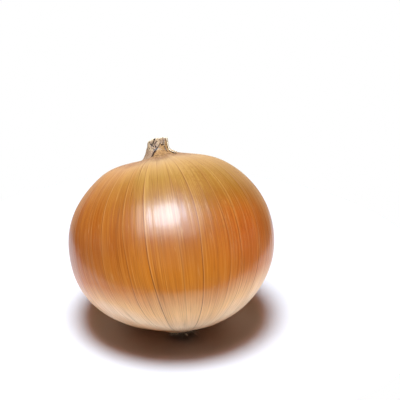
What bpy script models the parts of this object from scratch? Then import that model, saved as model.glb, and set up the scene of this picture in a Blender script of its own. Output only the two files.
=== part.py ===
"""A yellow onion at its real size, resting tilted on a small flat spot of its underside.

Three pieces: the bulb in its dry skin, whose top edge wraps the neck as a torn collar; the bundle of
dried leaf sheaths that stands in that collar; and the basal plate with its dried root stubs.

The onion is shaped about its own axis, root plate at -Z and neck at +Z, with the side that the photograph
shows at -Y. An empty then leans it over and sets it on the floor at z = 0.
"""

import math

import bmesh
import bpy
from mathutils import Matrix, Vector, noise

MM = 0.001

# The bulb's body: a superellipse turned about the onion's axis
BULB_RADIUS = 42.0 * MM
BULB_HALF_HEIGHT = 36.4 * MM
FULLNESS = 2.11
AROUND = 144
DOWN_THE_SIDE = 21

# The neck: the skin flares up into a collar round a socket
COLLAR_RADIUS = 4.3 * MM
COLLAR_WALL = 0.9 * MM
COLLAR_TOP = BULB_HALF_HEIGHT + 5.6 * MM
FLARE_HEIGHT = 2.0 * MM
FLARE_REACH = 1.7 * MM
FLARE_EDGE = 12.0 * MM
FLARE_STEPS = 6
SOCKET_RADIUS = COLLAR_RADIUS - COLLAR_WALL
SOCKET_FLOOR = BULB_HALF_HEIGHT - 4.0 * MM

# The collar's torn edge: low at the front left, where the skin's free edge runs down to the bulb
COLLAR_LOW_SIDE = math.radians(-125)
COLLAR_LOWEST = 0.12
COLLAR_TEAR = 0.07

# The underside: a low heel round a shallow recess for the basal plate
PLATE_RECESS_RADIUS = 5.6 * MM
PLATE_RECESS_DEPTH = 1.4 * MM
HEEL_DROP = 0.7 * MM
HEEL_REACH = 3.0 * MM

# How far the bulb departs from a turned shape: it is fuller on its right, where both ends reach further
LOPSIDED = 0.010
OVAL = 0.006
LEFT_SHOULDER_DROP = 1.1 * MM
RIGHT_SHOULDER_RISE = 1.0 * MM
UNDERSIDE_TILT = 1.0 * MM
FLUTE_DEPTH = 0.2 * MM

# The skin's veins, low ridges from root plate to neck: degrees to the right of the photographed side's middle
VEIN_HEIGHT = 0.3 * MM
VEIN_WIDTH = math.radians(2.3)
FRONT_VEINS = (-39, -25, -12, 5, 15.5, 30.6, 39)
OTHER_VEIN_COUNT = 20
OTHER_VEIN_JITTER = 3.2

# The bundle of dried sheaths in the neck
FIT_GAP = 0.3 * MM
CORE_RADIUS = 2.7 * MM
CORE_TOP = BULB_HALF_HEIGHT + 2.6 * MM
SHEATH_WALL = 0.7 * MM
SHEATH_FOOT = SOCKET_FLOOR + 1.2 * MM
SHEATH_OUTSIDE = SOCKET_RADIUS - FIT_GAP
SHEATH_COUNT = 5

# The basal plate and its root stubs
PLATE_RADIUS = PLATE_RECESS_RADIUS - FIT_GAP
PLATE_BULGE = 0.7 * MM
ROOT_COUNT = 30
ROOT_RADIUS = 0.36 * MM
ROOT_LENGTH = 3.2 * MM
ROOT_POINTS = 6
ROOT_FLOOR_GAP = 0.35 * MM
ROOT_FULL_ROOM = 3.5 * MM

# How the onion rests: leaning back from the front and to the left, cut flat where it meets the floor
LEAN_BACK = math.radians(22)
LEAN_LEFT = math.radians(7)
FLAT_DEPTH = 0.9 * MM

GOLDEN_ANGLE = math.pi * (3 - math.sqrt(5))


def smooth_step(low, high, value):
    """0 below low, 1 above high, and a smooth rise between."""
    share = min(1.0, max(0.0, (value - low) / (high - low)))
    return share * share * (3 - 2 * share)


def linear(hex_colour):
    """An sRGB hex colour as linear red, green, blue and alpha."""
    channels = [int(hex_colour[i : i + 2], 16) / 255 for i in (0, 2, 4)]
    return [c / 12.92 if c <= 0.04045 else ((c + 0.055) / 1.055) ** 2.4 for c in channels] + [1.0]


def finish(name, hex_colour, roughness):
    """A plain material."""
    material = bpy.data.materials.new(name)
    material.use_nodes = True
    shader = material.node_tree.nodes["Principled BSDF"]
    shader.inputs["Base Color"].default_value = linear(hex_colour)
    shader.inputs["Roughness"].default_value = roughness
    shader.inputs["Metallic"].default_value = 0.0
    return material


def clear_scene():
    for obj in list(bpy.data.objects):
        bpy.data.objects.remove(obj, do_unlink=True)


def new_collection(name):
    collection = bpy.data.collections.new(name)
    bpy.context.scene.collection.children.link(collection)
    return collection


def add_object(name, mesh, collection):
    obj = bpy.data.objects.new(name, mesh)
    collection.objects.link(obj)
    return obj


def evaluated_mesh(obj):
    """The object's shape with its modifiers applied, as a mesh of its own. The object is removed."""
    bpy.context.view_layer.update()
    graph = bpy.context.evaluated_depsgraph_get()
    mesh = bpy.data.meshes.new_from_object(obj.evaluated_get(graph))
    bpy.data.objects.remove(obj, do_unlink=True)
    return mesh


def turned(name, profile, steps, collection):
    """A profile of (radius, height) points, from the top axis down the outside to the bottom axis, turned about Z."""
    outline = bmesh.new()
    points = [outline.verts.new((radius, 0, height)) for radius, height in profile]
    for upper, lower in zip(points, points[1:]):
        outline.edges.new((upper, lower))
    mesh = bpy.data.meshes.new(name)
    outline.to_mesh(mesh)
    outline.free()
    obj = add_object(name, mesh, collection)
    screw = obj.modifiers.new("turn", "SCREW")
    screw.steps = screw.render_steps = steps
    screw.use_merge_vertices = True
    screw.merge_threshold = 0.01 * MM
    return evaluated_mesh(obj)


def body_point(turn):
    """A point of the superellipse, from the root pole at turn 0 to the neck pole at pi."""
    power = 2 / FULLNESS
    radius = BULB_RADIUS * math.sin(turn) ** power
    height = -BULB_HALF_HEIGHT * math.copysign(abs(math.cos(turn)) ** power, math.cos(turn))
    return radius, height


def turn_at(radius):
    """The superellipse's turn in its lower half where it has this radius."""
    return math.asin((radius / BULB_RADIUS) ** (FULLNESS / 2))


def flare_at(radius):
    """How far the skin rises above the superellipse on its way up to the neck."""
    return FLARE_HEIGHT * math.exp(-(radius - COLLAR_RADIUS) / FLARE_REACH)


def heel_at(radius):
    """How far the skin sinks below the superellipse round the basal plate."""
    return HEEL_DROP * math.exp(-(radius - PLATE_RECESS_RADIUS) / HEEL_REACH)


def bulb_profile():
    """The bulb's outline, from the floor of the neck's socket, down the outside, to the roof of the recess."""
    profile = [(0, SOCKET_FLOOR), (SOCKET_RADIUS, SOCKET_FLOOR)]
    flare_foot = body_point(math.pi - turn_at(COLLAR_RADIUS))[1] + FLARE_HEIGHT
    rim_height = COLLAR_TOP - flare_foot
    profile += [(SOCKET_RADIUS, flare_foot + rim_height * share) for share in (0, 0.34, 0.67, 1)]
    profile += [(COLLAR_RADIUS - 0.15 * MM, flare_foot + rim_height * share) for share in (1, 0.67, 0.34)]
    for step in range(FLARE_STEPS):
        radius = COLLAR_RADIUS * (FLARE_EDGE / COLLAR_RADIUS) ** (step / FLARE_STEPS)
        height = body_point(math.pi - turn_at(radius))[1]
        profile.append((radius, height + flare_at(radius)))
    first = math.pi - turn_at(FLARE_EDGE)
    last = turn_at(PLATE_RECESS_RADIUS)
    for step in range(DOWN_THE_SIDE + 1):
        radius, height = body_point(first + (last - first) * step / DOWN_THE_SIDE)
        height += flare_at(radius) if height > 0 else -heel_at(radius)
        profile.append((radius, height))
    recess_roof = profile[-1][1] + PLATE_RECESS_DEPTH
    profile += [(PLATE_RECESS_RADIUS, recess_roof), (0, recess_roof)]
    return profile


def collar_height(around):
    """The share of the collar's full height that the torn skin reaches at an angle round the neck."""
    turned_away = 0.5 - 0.5 * math.cos(around - COLLAR_LOW_SIDE)
    slant = COLLAR_LOWEST + (1 - COLLAR_LOWEST) * smooth_step(0.02, 0.42, turned_away)
    return slant * (1 - COLLAR_TEAR * (1 + math.sin(5 * around) * math.cos(9 * around + 1)))


def vein_places():
    """The angle round the axis and the strength of each vein, those of the front first."""
    degrees = list(FRONT_VEINS)
    first, last = degrees[-1], degrees[0] + 360
    for number in range(1, OTHER_VEIN_COUNT + 1):
        even = first + (last - first) * number / (OTHER_VEIN_COUNT + 1)
        degrees.append(even + OTHER_VEIN_JITTER * math.sin(2.3 * number + 0.5))
    strengths = [0.75 + 0.25 * math.sin(2.1 * number + 1) for number in range(len(degrees))]
    return [(math.radians(turn - 90), strength) for turn, strength in zip(degrees, strengths)]


def ridge_at(around):
    """How far the veins raise the skin at an angle round the axis, as a share of the highest."""
    raised = 0.0
    for place, strength in vein_places():
        apart = math.remainder(around - place, 2 * math.pi)
        raised += strength * math.exp(-((apart / VEIN_WIDTH) ** 2))
    return raised


def grown(point):
    """Moves a point of the turned bulb to where an onion that grew has it."""
    radius = math.hypot(point.x, point.y)
    around = math.atan2(point.y, point.x)
    level = point.z / BULB_HALF_HEIGHT
    away_from_axis = smooth_step(5 * MM, 14 * MM, radius)
    rightness = math.cos(around)
    swelling = LOPSIDED * rightness * min(1.0, 1 - level) + OVAL * math.cos(2 * around + 0.9)
    flutes = 0.6 * math.cos(17 * around + 1.4 * math.sin(2 * around))
    flutes += 0.4 * math.cos(11 * around + 1.1 * math.sin(3 * around))
    relief = (FLUTE_DEPTH * flutes + VEIN_HEIGHT * ridge_at(around)) / BULB_RADIUS
    relief *= smooth_step(5 * MM, 20 * MM, radius)
    spread = 1 + away_from_axis * swelling + relief
    drop = LEFT_SHOULDER_DROP * away_from_axis * (0.5 - 0.5 * rightness)
    rise = RIGHT_SHOULDER_RISE * smooth_step(12 * MM, 28 * MM, radius) * (0.5 + 0.5 * rightness)
    tilt = UNDERSIDE_TILT * away_from_axis * rightness
    height = point.z * (1 + relief) + level**2 * (rise - drop if level > 0 else -tilt)
    collar_foot = COLLAR_TOP - 5.0 * MM
    if radius < COLLAR_RADIUS + 0.1 * MM and height > collar_foot:
        height = collar_foot + (height - collar_foot) * collar_height(around)
    return Vector((point.x * spread, point.y * spread, height))


def reshape(mesh, rule):
    """Moves every point of a mesh by a rule."""
    for vertex in mesh.vertices:
        vertex.co = rule(vertex.co)
    mesh.update()


def shade(mesh, angle=math.radians(40)):
    mesh.shade_smooth()
    mesh.set_sharp_from_angle(angle=angle)


def make_bulb(collection, material):
    mesh = turned("bulb", bulb_profile(), AROUND, collection)
    reshape(mesh, grown)
    shade(mesh)
    mesh.materials.append(material)
    return add_object("bulb", mesh, collection)


def crumpled_core(point):
    """Folds a turned plug as dried sheaths fold, deeper towards its top."""
    around = math.atan2(point.y, point.x)
    rise = smooth_step(SOCKET_FLOOR, CORE_TOP, point.z)
    fold = math.cos(5 * around + 260 * point.z) + 0.5 * math.cos(8 * around - 330 * point.z)
    squeeze = 1 - 0.13 * rise * (1 + fold / 1.5)
    return Vector((point.x * squeeze, point.y * squeeze, point.z + 0.5 * MM * rise * math.sin(3 * around)))


def core_profile():
    foot = SOCKET_FLOOR + FIT_GAP
    heights = [foot + (CORE_TOP - foot) * step / 5 for step in range(5, -1, -1)]
    side = [(CORE_RADIUS, height) for height in heights]
    return [(0, CORE_TOP + 0.2 * MM), (0.5 * CORE_RADIUS, CORE_TOP + 0.1 * MM), *side, (0, foot)]


def sheath_point(across, along, middle, sweep, top):
    """A point of a dried leaf sheath: across it from -0.5 to 0.5, and along it from foot to torn tip."""
    around = middle + sweep * across + 0.5 * along
    torn = 0.09 * math.sin(9 * across + 4 * middle) + 0.06 * math.sin(23 * across + 7 * middle)
    height = SHEATH_FOOT + (top - SHEATH_FOOT) * along * (1 + torn * along - 0.5 * abs(across) ** 2)
    pinch = 0.22 * MM * math.sin(7 * across + 5 * along + middle)
    radius = SHEATH_OUTSIDE - 0.5 * SHEATH_WALL - 0.25 * MM + pinch * along
    radius -= 0.55 * MM * (1 - smooth_step(0.0, 0.45, along))
    return Vector((radius * math.cos(around), radius * math.sin(around), height))


def make_sheath(number, collection):
    """One torn sheath, an open strip given its wall by Solidify."""
    middle = GOLDEN_ANGLE * number
    sweep = math.radians(96 + 14 * math.sin(2.4 * number))
    top = COLLAR_TOP + (0.2 * MM if number % 2 else -0.8 * MM)
    sheet = bmesh.new()
    bmesh.ops.create_grid(sheet, x_segments=9, y_segments=8, size=0.5)
    for vertex in sheet.verts:
        vertex.co = sheath_point(vertex.co.x, vertex.co.y + 0.5, middle, sweep, top)
    mesh = bpy.data.meshes.new("sheath")
    sheet.to_mesh(mesh)
    sheet.free()
    obj = add_object("sheath", mesh, collection)
    wall = obj.modifiers.new("wall", "SOLIDIFY")
    wall.thickness = SHEATH_WALL
    wall.offset = 0
    return add_object("sheath", evaluated_mesh(obj), collection)


def fused(base, repeats):
    """The base's mesh with the repeats' collection joined into it. The collection's objects are removed."""
    union = base.modifiers.new("fuse", "BOOLEAN")
    union.operation = "UNION"
    union.operand_type = "COLLECTION"
    union.collection = repeats
    union.solver = "MANIFOLD"
    mesh = evaluated_mesh(base)
    for obj in list(repeats.objects):
        bpy.data.objects.remove(obj, do_unlink=True)
    return mesh


def make_neck(collection, repeats, material):
    mesh = turned("neck", core_profile(), 40, collection)
    reshape(mesh, crumpled_core)
    core = add_object("neck", mesh, collection)
    for number in range(SHEATH_COUNT):
        make_sheath(number, repeats)
    mesh = fused(core, repeats)
    shade(mesh)
    mesh.materials.clear()
    mesh.materials.append(material)
    return add_object("neck", mesh, collection)


def plate_profile():
    """The basal plate: a corky disc that fills the recess and bulges a little below its edge."""
    recess_edge = body_point(turn_at(PLATE_RECESS_RADIUS))[1] - HEEL_DROP
    roof = recess_edge + PLATE_RECESS_DEPTH - FIT_GAP
    bulge = [
        (PLATE_RADIUS * math.cos(turn), recess_edge - PLATE_BULGE * math.sin(turn))
        for turn in (0.0, 0.4, 0.8, 1.2)
    ]
    return [(0, roof), (PLATE_RADIUS, roof), *bulge, (0, recess_edge - PLATE_BULGE)]


def corky(point):
    """Roughens the plate's underside, and leaves its rim and roof as turned."""
    inside = 1 - smooth_step(0.7 * PLATE_RADIUS, 0.95 * PLATE_RADIUS, math.hypot(point.x, point.y))
    below = smooth_step(BULB_HALF_HEIGHT, BULB_HALF_HEIGHT + 0.5 * MM, -point.z)
    bump = 0.35 * MM * noise.noise(point * 700)
    return point + Vector((0, 0, bump * inside * below))


def root_route(number, placing):
    """The points of one root stub, curling outwards, shorter where the plate is near the floor and clear of it."""
    share = math.sqrt((number + 0.5) / ROOT_COUNT)
    around = GOLDEN_ANGLE * number
    radial = Vector((math.cos(around), math.sin(around), 0))
    sideways = Vector((-math.sin(around), math.cos(around), 0))
    start = radial * (0.8 * PLATE_RADIUS * share) + Vector((0, 0, -BULB_HALF_HEIGHT + 0.1 * MM))
    curl = math.sin(2.7 * number)
    room = smooth_step(0, ROOT_FULL_ROOM, (placing @ start).z)
    length = ROOT_LENGTH * (0.8 + 0.45 * math.sin(1.9 * number + 1)) * (0.2 + 0.8 * room)
    points = []
    for step in range(ROOT_POINTS):
        along = step / (ROOT_POINTS - 1)
        offset = radial * (0.75 * share * along**1.6) + sideways * (0.45 * curl * along**2)
        drop = Vector((0, 0, -along + 0.35 * along**2))
        point = placing @ (start + length * (offset + drop))
        point.z = max(point.z, ROOT_FLOOR_GAP + 1.1 * ROOT_RADIUS)
        points.append(placing.inverted() @ point)
    return points


def make_root(points, collection):
    """A tapered stub: a bevelled curve with filled caps, made a closed mesh."""
    curve = bpy.data.curves.new("root", "CURVE")
    curve.dimensions = "3D"
    curve.bevel_depth = ROOT_RADIUS
    curve.bevel_resolution = 1
    curve.use_fill_caps = True
    spline = curve.splines.new("POLY")
    spline.points.add(len(points) - 1)
    for place, (control, point) in enumerate(zip(spline.points, points)):
        control.co = (*point, 1)
        control.radius = 1 - 0.5 * place / (len(points) - 1)
    mesh = evaluated_mesh(add_object("root", curve, collection))
    welded = bmesh.new()
    welded.from_mesh(mesh)
    bmesh.ops.remove_doubles(welded, verts=welded.verts, dist=0.01 * MM)
    welded.to_mesh(mesh)
    welded.free()
    return add_object("root", mesh, collection)


def make_roots(collection, repeats, material, placing):
    mesh = turned("root_plate", plate_profile(), 48, collection)
    reshape(mesh, corky)
    plate = add_object("root_plate", mesh, collection)
    for number in range(ROOT_COUNT):
        make_root(root_route(number, placing), repeats)
    mesh = fused(plate, repeats)
    shade(mesh)
    mesh.materials.clear()
    mesh.materials.append(material)
    return add_object("root_plate", mesh, collection)


def resting_place(bulb):
    """The matrix that leans the onion over and sets it down, its box centred on the origin."""
    lean = Matrix.Rotation(-LEAN_BACK, 4, "X") @ Matrix.Rotation(-LEAN_LEFT, 4, "Y")
    points = [lean @ vertex.co for vertex in bulb.data.vertices]
    lows = [min(point[axis] for point in points) for axis in range(3)]
    highs = [max(point[axis] for point in points) for axis in range(3)]
    shift = Vector((-(lows[0] + highs[0]) / 2, -(lows[1] + highs[1]) / 2, -lows[2] - FLAT_DEPTH))
    return Matrix.Translation(shift) @ lean


def flatten_underside(bulb, cutters):
    """Cuts the bulb level where it would dip below the floor."""
    size = 4 * BULB_RADIUS
    box = bmesh.new()
    bmesh.ops.create_cube(box, size=size)
    mesh = bpy.data.meshes.new("floor_cutter")
    box.to_mesh(mesh)
    box.free()
    cutter = add_object("floor_cutter", mesh, cutters)
    cutter.location.z = -size / 2
    cutter.hide_render = True
    cutter.display_type = "WIRE"
    cut = bulb.modifiers.new("flat_spot", "BOOLEAN")
    cut.operation = "DIFFERENCE"
    cut.object = cutter


def main():
    clear_scene()
    onion = new_collection("onion")
    cutters = new_collection("cutters")
    repeats = new_collection("repeats")
    skin = finish("onion_skin", "C67A33", 0.4)
    dry_sheath = finish("dry_sheath", "D3B08A", 0.75)
    dry_root = finish("dry_root", "8C7256", 0.85)

    bulb = make_bulb(onion, skin)
    placing = resting_place(bulb)
    neck = make_neck(onion, repeats, dry_sheath)
    roots = make_roots(onion, repeats, dry_root, placing)

    axis = bpy.data.objects.new("onion_axis", None)
    onion.objects.link(axis)
    axis.matrix_world = placing
    for piece in (bulb, neck, roots):
        piece.parent = axis
    flatten_underside(bulb, cutters)


main()
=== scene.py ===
"""The looks of a yellow onion: its papery skin with veins, its dried neck, its root plate and its roots.

Each piece is shaped about the onion's own axis, root plate at -Z and neck at +Z, with the photographed side
at -Y. It is then leaned over and set down as the solids are.
"""

import math

import bmesh
import bpy
import numpy as np
from mathutils import Matrix, Vector, noise


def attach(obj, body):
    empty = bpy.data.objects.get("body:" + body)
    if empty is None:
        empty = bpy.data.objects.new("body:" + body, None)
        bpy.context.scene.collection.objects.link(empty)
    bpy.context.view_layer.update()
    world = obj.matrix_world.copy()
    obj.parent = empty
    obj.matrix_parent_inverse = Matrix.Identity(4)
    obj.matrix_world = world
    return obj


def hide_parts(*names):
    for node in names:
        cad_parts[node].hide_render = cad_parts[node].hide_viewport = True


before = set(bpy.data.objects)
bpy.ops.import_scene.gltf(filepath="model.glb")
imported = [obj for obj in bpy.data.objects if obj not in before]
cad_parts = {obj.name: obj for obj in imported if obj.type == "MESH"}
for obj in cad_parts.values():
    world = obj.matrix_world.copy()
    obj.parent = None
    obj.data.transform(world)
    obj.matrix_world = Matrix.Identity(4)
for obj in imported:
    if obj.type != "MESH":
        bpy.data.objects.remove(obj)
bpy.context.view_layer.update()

MM = 0.001
GOLDEN_ANGLE = math.pi * (3 - math.sqrt(5))

# The bulb, as in its solid: a superellipse turned about the onion's axis
BULB_RADIUS = 42.0 * MM
BULB_HALF_HEIGHT = 36.4 * MM
FULLNESS = 2.11
COLLAR_RADIUS = 4.3 * MM
FLARE_HEIGHT = 2.0 * MM
FLARE_REACH = 1.7 * MM
SOCKET_FLOOR = BULB_HALF_HEIGHT - 4.0 * MM
PLATE_RECESS_RADIUS = 5.6 * MM
PLATE_RECESS_DEPTH = 1.4 * MM
HEEL_DROP = 0.7 * MM
HEEL_REACH = 3.0 * MM

# How far the bulb departs from a turned shape
LOPSIDED = 0.010
OVAL = 0.006
LEFT_SHOULDER_DROP = 1.1 * MM
RIGHT_SHOULDER_RISE = 1.0 * MM
UNDERSIDE_TILT = 1.0 * MM
LEFT_FULLNESS = 1.4 * MM
LEFT_HOLLOW = 1.4 * MM

# Where those are, by distance from the axis: from none to full, or the middle and how far it reaches
LOPSIDED_FROM = (5 * MM, 14 * MM)
RELIEF_FROM = (5 * MM, 20 * MM)
RIGHT_RISE_FROM = (12 * MM, 28 * MM)
LEFT_FULLNESS_AT = (23 * MM, 8 * MM)
LEFT_HOLLOW_AT = (7.5 * MM, 3.5 * MM)
LEFT_HOLLOW_FROM = (4.6 * MM, 7 * MM)

# The relief of the skin
FLUTE_DEPTH = 0.07 * MM
DENT_DEPTH = 0.2 * MM
DENT_SIZE = 24 * MM

# The veins: degrees to the right of the middle of the photographed side, and how strong each is
FRONT_VEINS = ((-39, 0.6), (-25, 0.6), (-12, 1.0), (5, 0.5), (15.5, 1.0), (30.6, 0.55), (39, 0.6))
OTHER_VEIN_COUNT = 20
OTHER_VEIN_JITTER = 3.2
VEIN_SWELL = 0.03 * MM
VEIN_SWELL_WIDTH = math.radians(1.4)
VEIN_REACH = 1.7 * MM
VEIN_REACH_TURN = math.radians(4)

# The neck is measured by the way in along the shoulder and up, in mm from a ring of this radius
NECK_EDGE = 14.0 * MM
NECK_CURVE = 0.5 * MM
NECK_CURVE_HEIGHT = 0.6 * MM
NECK_RISE = 7 * MM
NECK_SAMPLES = 120
NECK_FOOT_WAY = 9.9
NECK_TOP_WAY = 15.0
LEFT_SWELL = 0.6 * MM
LEFT_SWELL_WAY = 10.5
LEFT_SWELL_REACH = 2.2
SKIN_WALL = 0.25 * MM

# Degrees round the neck, from the right of the part, and the way up to the skin's torn rim there
SKIN_RIM = (
    (-180, 10.9), (-160, 10.5), (-140, 10.3), (-125, 10.2), (-112, 10.3), (-104, 10.6), (-94, 11.3),
    (-83, 12.3), (-76, 12.7), (-68, 12.3), (-60, 12.5), (-54, 12.3), (-50, 11.4), (-46, 10.8),
    (-38, 12.4), (-25, 14.0), (0, 14.8), (30, 15.0), (60, 14.6), (90, 14.4), (120, 13.8), (140, 12.9),
    (160, 11.8),
)
SHEATH_RIM = (
    (-180, 13.6), (-160, 14.1), (-140, 14.4), (-125, 14.7), (-112, 15.1), (-90, 15.2), (-70, 15.1),
    (-50, 15.3), (-30, 15.0), (0, 14.6), (40, 14.9), (80, 14.2), (120, 14.4), (150, 13.9),
)

# The dried sheaths: the outermost one, those wound up inside it, and the strip that has come away
SHEATH_FOOT_WAY = 8.6
SHEATH_RINGS = 44
SHEATH_WALL = 0.45 * MM
LOW_SIDE = math.radians(-140)
INNER_LEAVES = 7
LEAF_RING = 3.15 * MM
LEAF_RING_STEP = 0.40 * MM
LEAF_TOP = 41.9 * MM
LEAF_WALL = 0.22 * MM
STRIP_WALL = 0.2 * MM

# Lines drawn on the neck: (degrees, way) points, then width in mm, depth in mm and the strength of the shade
# painted along it
FREE_EDGE = ((-83, 12.4), (-94, 11.2), (-103, 10.0), (-109, 8.6), (-113, 5.2), (-117, 2.5), (-124, 0.2))
FREE_EDGE_LIFT = 0.24 * MM
SHEATH_FOLDS = (
    (((-101, 15.2), (-110, 13.8), (-119, 12.7)), 0.28, 0.75, 1.0),
    (((-140, 13.4), (-128, 12.5), (-116, 11.8)), 0.26, 0.55, 0.9),
    (((-92, 13.6), (-104, 12.9), (-106, 12.4), (-101, 11.4)), 0.20, 0.40, 0.75),
    (((-118, 10.9), (-112, 10.4)), 0.22, 0.30, 0.6),
    (((-146, 11.6), (-138, 11.2)), 0.20, 0.25, 0.5),
    (((-43, 15.2), (-45, 13.8), (-48, 12.4)), 0.24, 0.60, 1.0),
    (((-72, 14.4), (-66, 13.4), (-70, 12.6)), 0.20, 0.25, 0.35),
    (((-165, 14.0), (-170, 12.4), (-160, 11.0)), 0.24, 0.40, 0.6),
    (((20, 15.2), (28, 13.5)), 0.26, 0.50, 0.7),
    (((75, 14.8), (66, 12.5)), 0.26, 0.50, 0.7),
    (((118, 14.8), (124, 12.0)), 0.26, 0.50, 0.7),
    (((160, 14.5), (152, 12.4)), 0.26, 0.50, 0.7),
)
SKIN_FOLDS = (
    (((-68, 11.9), (-60, 12.2), (-52, 11.9), (-49, 10.9), (-48, 9.8), (-51, 8.4)), 0.22, 0.30, 0.9),
    (((-70, 9.8), (-64, 9.4)), 0.20, 0.12, 0.45),
    (((-100, 6.6), (-95, 6.1), (-90, 6.3)), 0.22, 0.12, 0.45),
    (((-88, 5.2), (-80, 4.9), (-73, 5.3)), 0.26, 0.12, 0.35),
    (((-60, 6.6), (-56, 5.6)), 0.24, 0.12, 0.35),
    (((10, 12.8), (4, 10.2), (8, 7.0)), 0.30, 0.20, 0.4),
    (((70, 13.0), (76, 9.8), (70, 6.0)), 0.30, 0.25, 0.5),
    (((120, 12.0), (112, 9.0), (118, 5.0)), 0.30, 0.25, 0.5),
    (((165, 10.5), (172, 8.0), (164, 4.0)), 0.30, 0.20, 0.4),
)

# The root plate and what grows from it
PLATE_RADIUS = 5.3 * MM
PLATE_BULGE = 0.7 * MM
CORK_GRAIN = 1.1 * MM
CORK_SPECK = 0.45 * MM
CORK_DEPTH = 0.16 * MM
FRAY_WALL = 0.14 * MM
HAIR_COUNT = 90
HAIR_RADIUS = 0.11 * MM
HAIR_LENGTH = 2.5 * MM
HAIR_POINTS = 9
HAIR_FLOOR_GAP = 0.4 * MM
HAIR_FULL_ROOM = 3.0 * MM

# How the onion rests, and how finely its skin is made
LEAN_BACK = math.radians(22)
LEAN_LEFT = math.radians(7)
FLAT_DEPTH = 0.9 * MM
AROUND = 480
DOWN_THE_SIDE = 100
NECK_RINGS = 72
SHARP_EDGE = math.radians(60)

# The photograph's side and the place of the bulb's middle in it, in pixels, and the camera
PHOTO_SIDE = 400
BULB_AT = (167.5, 241.5)
LENS = 85
SENSOR = 36
CAMERA_DISTANCE = 0.390
CAMERA_HEIGHT_ANGLE = math.radians(26)

# The round table: how far in front of the onion its edge is, and its radius
TABLE_FRONT = 0.080
TABLE_RADIUS = 0.125

# The skin's colours from the root end, at 0, to the neck: pale, orange, brown and straw. Some is painted
# light:
# the palest band low down is partly painted reflection of the floor, and the gold and pale band below the
# neck are partly painted reflection of the overhead light and painted sheen
SKIN_TONES_AND_LIGHT = (
    (0.02, "D29A68"), (0.08, "F2C9A0"), (0.14, "FFE4C2"), (0.22, "F0BC7C"), (0.32, "C6761C"),
    (0.48, "8B4D07"), (0.60, "7A4F0E"), (0.69, "88662C"), (0.75, "9E7D4A"), (0.80, "A6885F"),
    (0.84, "85674E"), (0.87, "8B6D4C"), (0.90, "8E6F4C"), (1.00, "8C724E"),
)

# One cell of each pattern of the skin, in mm round the bulb at its widest and down its side
BLUSH_CELL = (19.1, 38.75)
BAND_CELL = (4.667, 77.5)
FIBRE_CELL = (0.4421, 38.75)
END_FIBRE_CELL = (1.105, 31.0)
FINE_FIBRE_CELL = (0.28, 12.4)
DARK_LINE_CELL = (2.21, 68.9)
PALE_LINE_CELL = (1.556, 47.7)
LINE_PATCH_CELL = (6.0, 24.8)
WRINKLE_CELL = (1.235, 1.24)
VEIN_BREAK_CELL = (2.1, 10.33)

# The same for the dried sheaths, round the neck and up it, and the grain of the rest, all in mm
SHEATH_FIBRE_CELL = (0.307, 9.8)
SHEATH_BLOTCH_CELL = (1.433, 3.0625)
FLECK_SIZE = 0.7143
CORK_MOTTLE_SIZE = 1.111
TABLE_MOTTLE_SIZE = 250

# What one unit of a pattern's place spans in mm, round and down the bulb, and round and up the neck
SKIN_SPAN = (42.0, 62.0)
SHEATH_SPAN = (4.3, 49.0)

# The studio's lights: shape, direction from the onion, distance and size in metres, watts and colour
SOFT_WHITE = (1.0, 0.99, 0.98)
TABLE_LIGHTS = {
    "table_cool": ("ELLIPSE", (-0.05, -0.16, 1.0), 0.9, (0.35, 0.35), 27.4, (0.42, 0.78, 1.0)),
    "table_warm": ("ELLIPSE", (-0.05, -0.16, 1.0), 0.9, (0.53, 0.53), 11.6, (1.0, 0.64, 0.56)),
}
ONION_LIGHTS = {
    "overhead_softbox": ("ELLIPSE", (0.06, -0.16, 1.0), 0.9, (0.40, 0.40), 11.5, SOFT_WHITE),
    "front_softbox": ("RECTANGLE", (-0.07, -0.54, 0.84), 0.9, (1.15, 0.75), 11.3, (0.93, 0.99, 1.0)),
    "front_bulb": ("ELLIPSE", (-0.08, -0.485, 0.87), 0.9, (0.52, 0.50), 14.6, (0.58, 0.78, 1.0)),
    "low_fill": ("ELLIPSE", (0.0, -0.99, 0.06), 0.5, (0.5, 0.12), 0.6, (1.0, 0.95, 0.9)),
    "left_fill": ("ELLIPSE", (-0.95, -0.1, 0.04), 0.5, (0.4, 0.12), 1.2, SOFT_WHITE),
    "right_fill": ("ELLIPSE", (0.95, -0.1, 0.04), 0.5, (0.4, 0.12), 1.2, SOFT_WHITE),
}
SEEN_IN_GLOSS = ("front_softbox", "front_bulb")


def linear(hex_colour):
    """An sRGB hex colour as linear red, green and blue, with an alpha of 1."""
    channels = [int(hex_colour[i : i + 2], 16) / 255 for i in (0, 2, 4)]
    return [c / 12.92 if c <= 0.04045 else ((c + 0.055) / 1.055) ** 2.4 for c in channels] + [1.0]


def smooth_step(low, high, value):
    """0 below low, 1 above high, and a smooth rise between."""
    share = np.clip((value - low) / (high - low), 0, 1)
    return share * share * (3 - 2 * share)


# Shapes of the bulb


def body_point(turn):
    """A point of the superellipse, from the root pole at turn 0 to the neck pole at pi."""
    power = 2 / FULLNESS
    radius = BULB_RADIUS * math.sin(turn) ** power
    height = -BULB_HALF_HEIGHT * math.copysign(abs(math.cos(turn)) ** power, math.cos(turn))
    return radius, height


def turn_at(radius):
    """The superellipse's turn in its lower half where it has this radius."""
    return math.asin((radius / BULB_RADIUS) ** (FULLNESS / 2))


def flare_at(radius):
    return FLARE_HEIGHT * math.exp(-(radius - COLLAR_RADIUS) / FLARE_REACH)


def heel_at(radius):
    return HEEL_DROP * math.exp(-(radius - PLATE_RECESS_RADIUS) / HEEL_REACH)


def shoulder_height(radius):
    """The height of the skin near the neck, flare and all."""
    return body_point(math.pi - turn_at(radius))[1] + flare_at(radius)


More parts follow.
